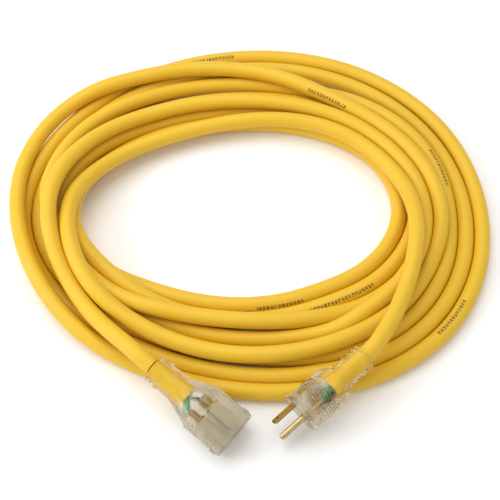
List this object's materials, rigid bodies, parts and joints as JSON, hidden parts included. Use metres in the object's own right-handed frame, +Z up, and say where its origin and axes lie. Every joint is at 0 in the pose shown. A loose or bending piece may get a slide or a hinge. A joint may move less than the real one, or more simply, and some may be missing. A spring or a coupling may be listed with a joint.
{
  "type": "extension cord",
  "caption": "Grounded heavy-duty extension cord wound in a loose flat coil, with a see-through moulded plug at one end and a see-through lighted connector at the other.",
  "frame": {"origin": "centre of the whole set's footprint, on the surface it lies on", "axes": "+Z up, +Y from the ends of the cord towards the back of the coil, +X to the coil's right side"},
  "size_m": [0.3706, 0.3614, 0.04],
  "materials": {
    "yellow_jacket": "glossy soft vinyl, golden yellow",
    "clear_vinyl": "glossy see-through vinyl with a warm beige tint",
    "clear_insert": "satin hard plastic, nearly clear",
    "brass": "bright stamped brass",
    "copper": "bare stranded copper, satin",
    "black_vinyl": "satin vinyl insulation",
    "white_vinyl": "satin vinyl insulation",
    "green_vinyl": "satin vinyl insulation",
    "lamp_glass": "clear glass bulb with a warm tint",
    "resistor_lacquer": "lacquered body",
    "tinned_wire": "tinned wire"
  },
  "bodies": {
    "root": {"plug_hot_insulation": "black_vinyl", "plug_hot_copper": "copper", "plug_neutral_insulation": "white_vinyl", "plug_neutral_copper": "copper", "plug_ground_insulation": "green_vinyl", "plug_ground_copper": "copper", "plug_jacket_end": "yellow_jacket", "plug_hot_blade": "brass", "plug_neutral_blade": "brass", "plug_ground_pin": "brass", "plug_blade_bridge": "clear_insert", "plug_body": "clear_vinyl", "connector_hot_insulation": "black_vinyl", "connector_hot_copper": "copper", "connector_neutral_insulation": "white_vinyl", "connector_neutral_copper": "copper", "connector_ground_insulation": "green_vinyl", "connector_ground_copper": "copper", "connector_jacket_end": "yellow_jacket", "connector_hot_contact": "brass", "connector_neutral_contact": "brass", "connector_ground_contact": "brass", "connector_contact_block": "clear_insert", "connector_lamp": "lamp_glass", "connector_lamp_resistor": "resistor_lacquer", "connector_lamp_lead_hot": "tinned_wire", "connector_lamp_lead_middle": "tinned_wire", "connector_lamp_lead_neutral": "tinned_wire", "connector_body": "clear_vinyl", "cord_coil": "yellow_jacket", "cord_plug_tail": "yellow_jacket", "cord_connector_tail": "yellow_jacket"}
  },
  "joints": []
}
